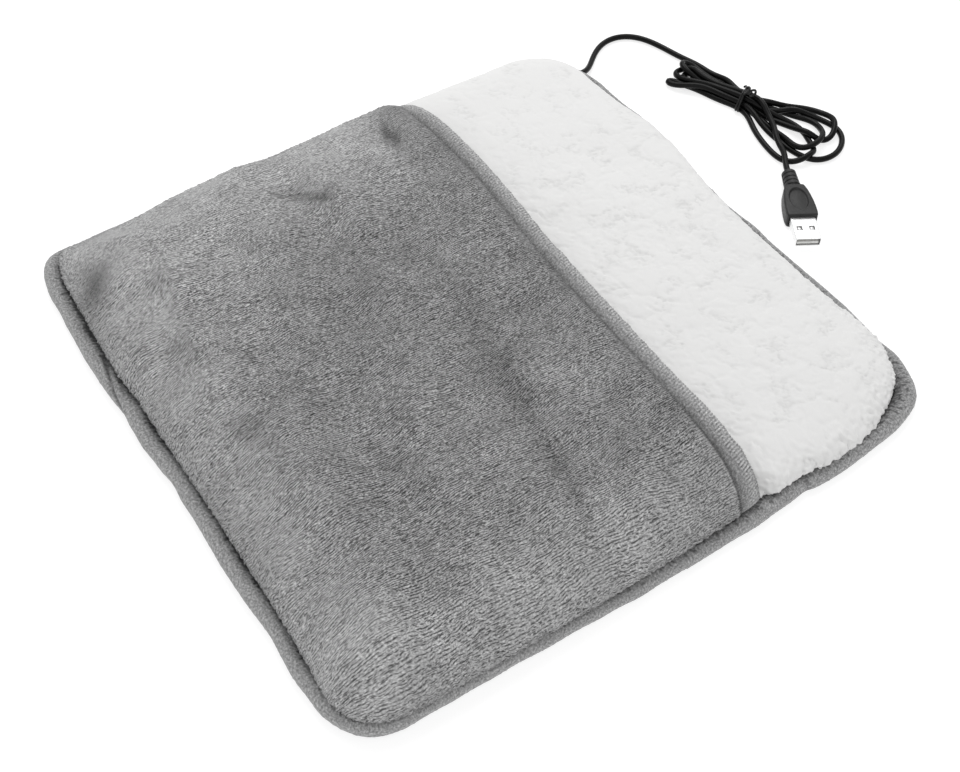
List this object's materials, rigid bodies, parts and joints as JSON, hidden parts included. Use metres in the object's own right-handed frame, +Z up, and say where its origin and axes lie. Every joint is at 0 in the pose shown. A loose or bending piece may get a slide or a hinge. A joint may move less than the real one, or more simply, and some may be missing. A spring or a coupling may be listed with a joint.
{
  "type": "electric foot warmer",
  "caption": "Soft square heated foot pad: grey plush toe pocket lined and based with white fleece, bound edge, and a thin lead folded to a USB-A plug.",
  "frame": {"origin": "under the middle of the pad, on the surface that it lies on; the free lead, its bundle and its plug are left out of this middle", "axes": "+Z up; +Y from the closed toe edge of the pocket to the open heel end, where the lead leaves; +X across the toes, so that the lead leaves at the -X end of the heel edge"},
  "size_m": [0.296, 0.384, 0.0302],
  "materials": {
    "plush_grey": "short-pile plush, brushed towards the toe, soft streaks",
    "fleece_white": "curly sherpa fleece in soft clumps",
    "binding_grey": "smooth short-pile tape",
    "wadding": "white polyester wadding",
    "element_cloth": "thin non-woven carrier cloth",
    "heater_sheath": "silicone sheath",
    "core_red": "core insulation",
    "core_black": "core insulation",
    "sleeving": "shrink sleeving",
    "cutout_case": "moulded case",
    "cord_pvc": "semi-gloss black jacket",
    "tie_plastic": "plastic-coated twist wire",
    "plug_overmould": "satin moulded plastic",
    "plug_steel": "bright plated steel",
    "plug_insulator": "moulded plastic",
    "contact_gold": "flash plated contact"
  },
  "bodies": {
    "base": {"base_cover": "plush_grey", "base_batting_lower": "wadding", "base_batting_upper": "wadding", "sole_fleece": "fleece_white", "heater_carrier_lower": "element_cloth", "heater_carrier_upper": "element_cloth", "heating_wire": "heater_sheath", "thermal_cutout": "cutout_case", "splice_element": "sleeving", "splice_positive": "sleeving", "splice_negative": "sleeving", "lead_positive": "core_red", "lead_negative": "core_black", "cord_anchor": "cord_pvc", "edge_binding": "binding_grey", "cord_lead": "cord_pvc", "cord_folds": "cord_pvc", "cord_loops": "cord_pvc", "cord_tail": "cord_pvc", "cord_tie": "tie_plastic", "usb_overmould": "plug_overmould", "usb_shell": "plug_steel", "usb_insulator": "plug_insulator", "usb_contact_1": "contact_gold", "usb_contact_2": "contact_gold", "usb_contact_3": "contact_gold", "usb_contact_4": "contact_gold"},
    "pocket": {"pocket_cover": "plush_grey", "pocket_batting": "wadding", "pocket_fleece": "fleece_white", "mouth_binding": "binding_grey"}
  },
  "joints": [
    {"name": "pocket_lift", "type": "hinge", "parent": "base", "child": "pocket", "pos_m": [0, -0.14, 0.0085], "axis": [1, 0, 0], "range_deg": [0, 25]}
  ]
}
